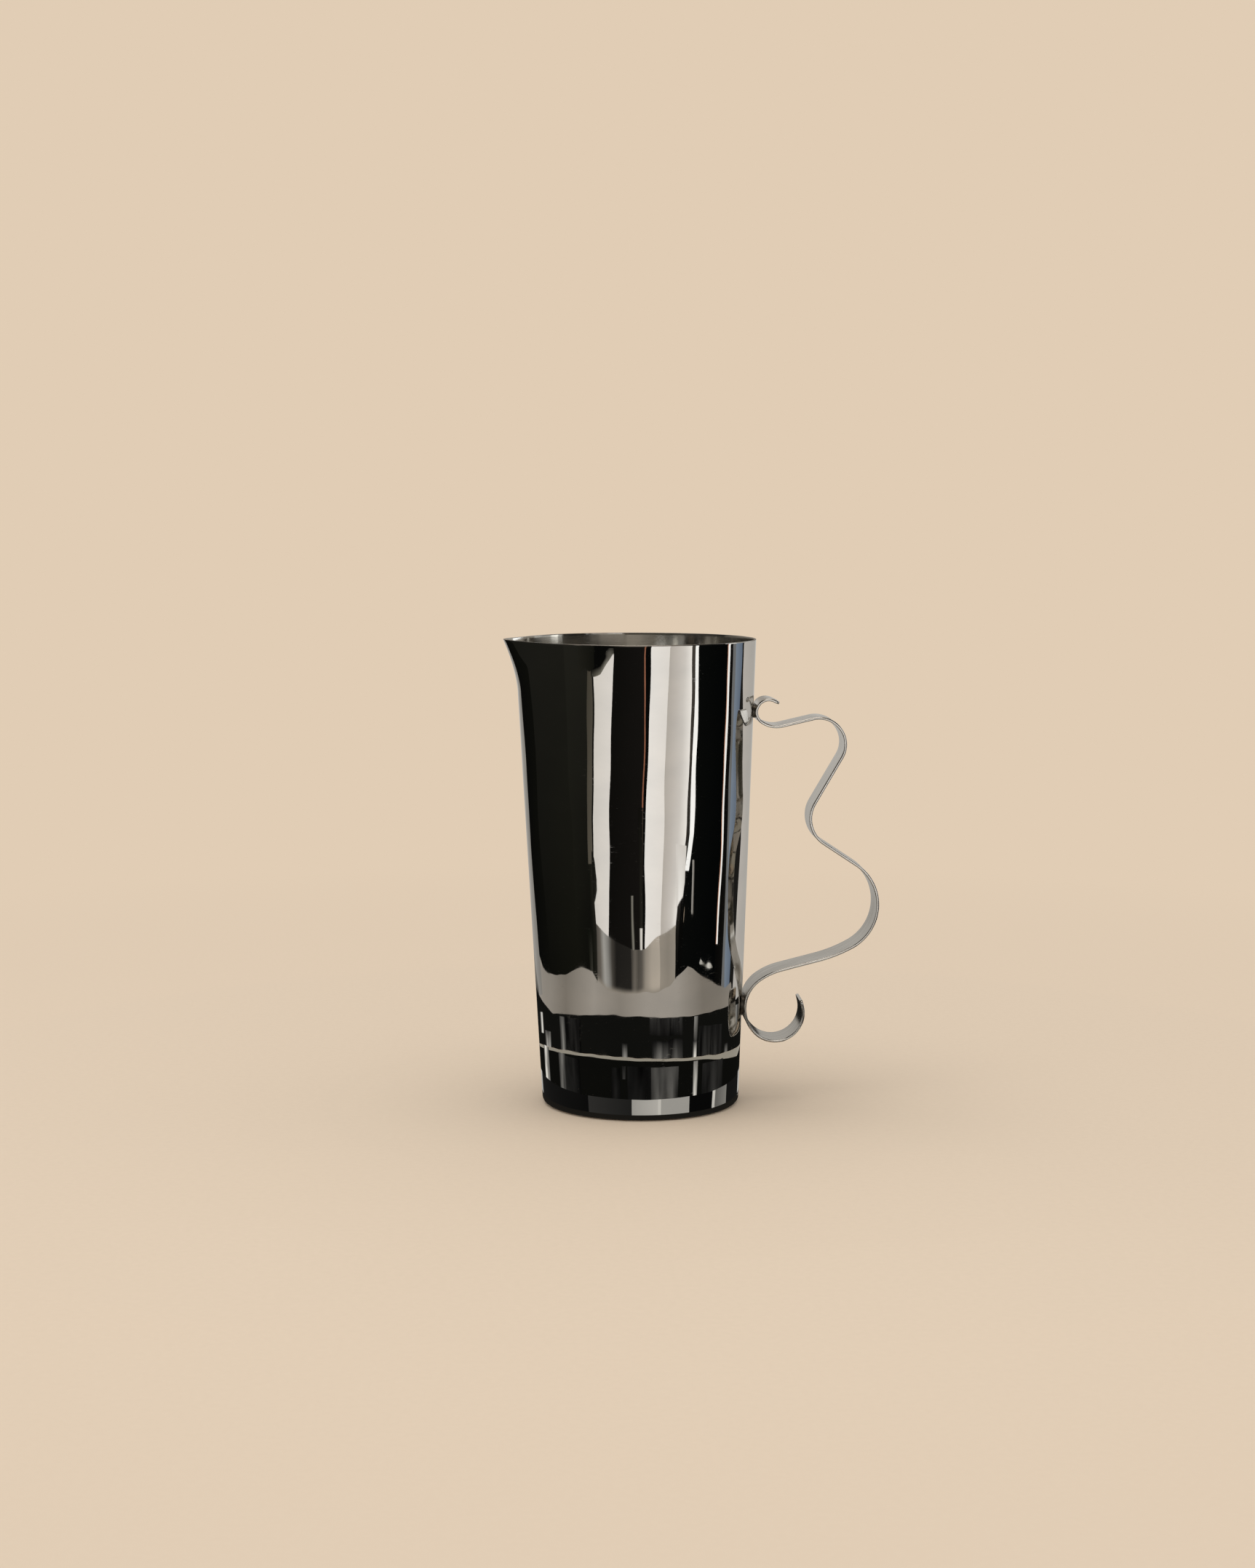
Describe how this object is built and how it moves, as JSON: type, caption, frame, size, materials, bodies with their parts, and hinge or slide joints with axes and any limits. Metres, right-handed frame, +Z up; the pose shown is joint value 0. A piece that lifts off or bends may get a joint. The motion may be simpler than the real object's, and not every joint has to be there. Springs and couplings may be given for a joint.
{
  "type": "pitcher",
  "caption": "Tall tapered stainless sheet pitcher, open at the top, with a small pulled pouring lip and a wavy strip handle whose two end scrolls are welded to the wall.",
  "frame": {"origin": "centre of the flat base, on the plane the pitcher stands on", "axes": "+Z up to the mouth, +X from the axis toward the handle, -X toward the pouring lip, +Y across the handle strip"},
  "size_m": [0.1929, 0.1234, 0.24],
  "materials": {
    "mirror_steel": "mirror polished outside, satin brushed inside",
    "strip_steel": "satin faces with polished edges",
    "weld_steel": "smooth ground weld"
  },
  "bodies": {
    "root": {"body_shell": "mirror_steel", "base_pan": "mirror_steel", "handle_strip": "strip_steel", "upper_weld": "weld_steel", "lower_weld": "weld_steel"}
  },
  "joints": []
}
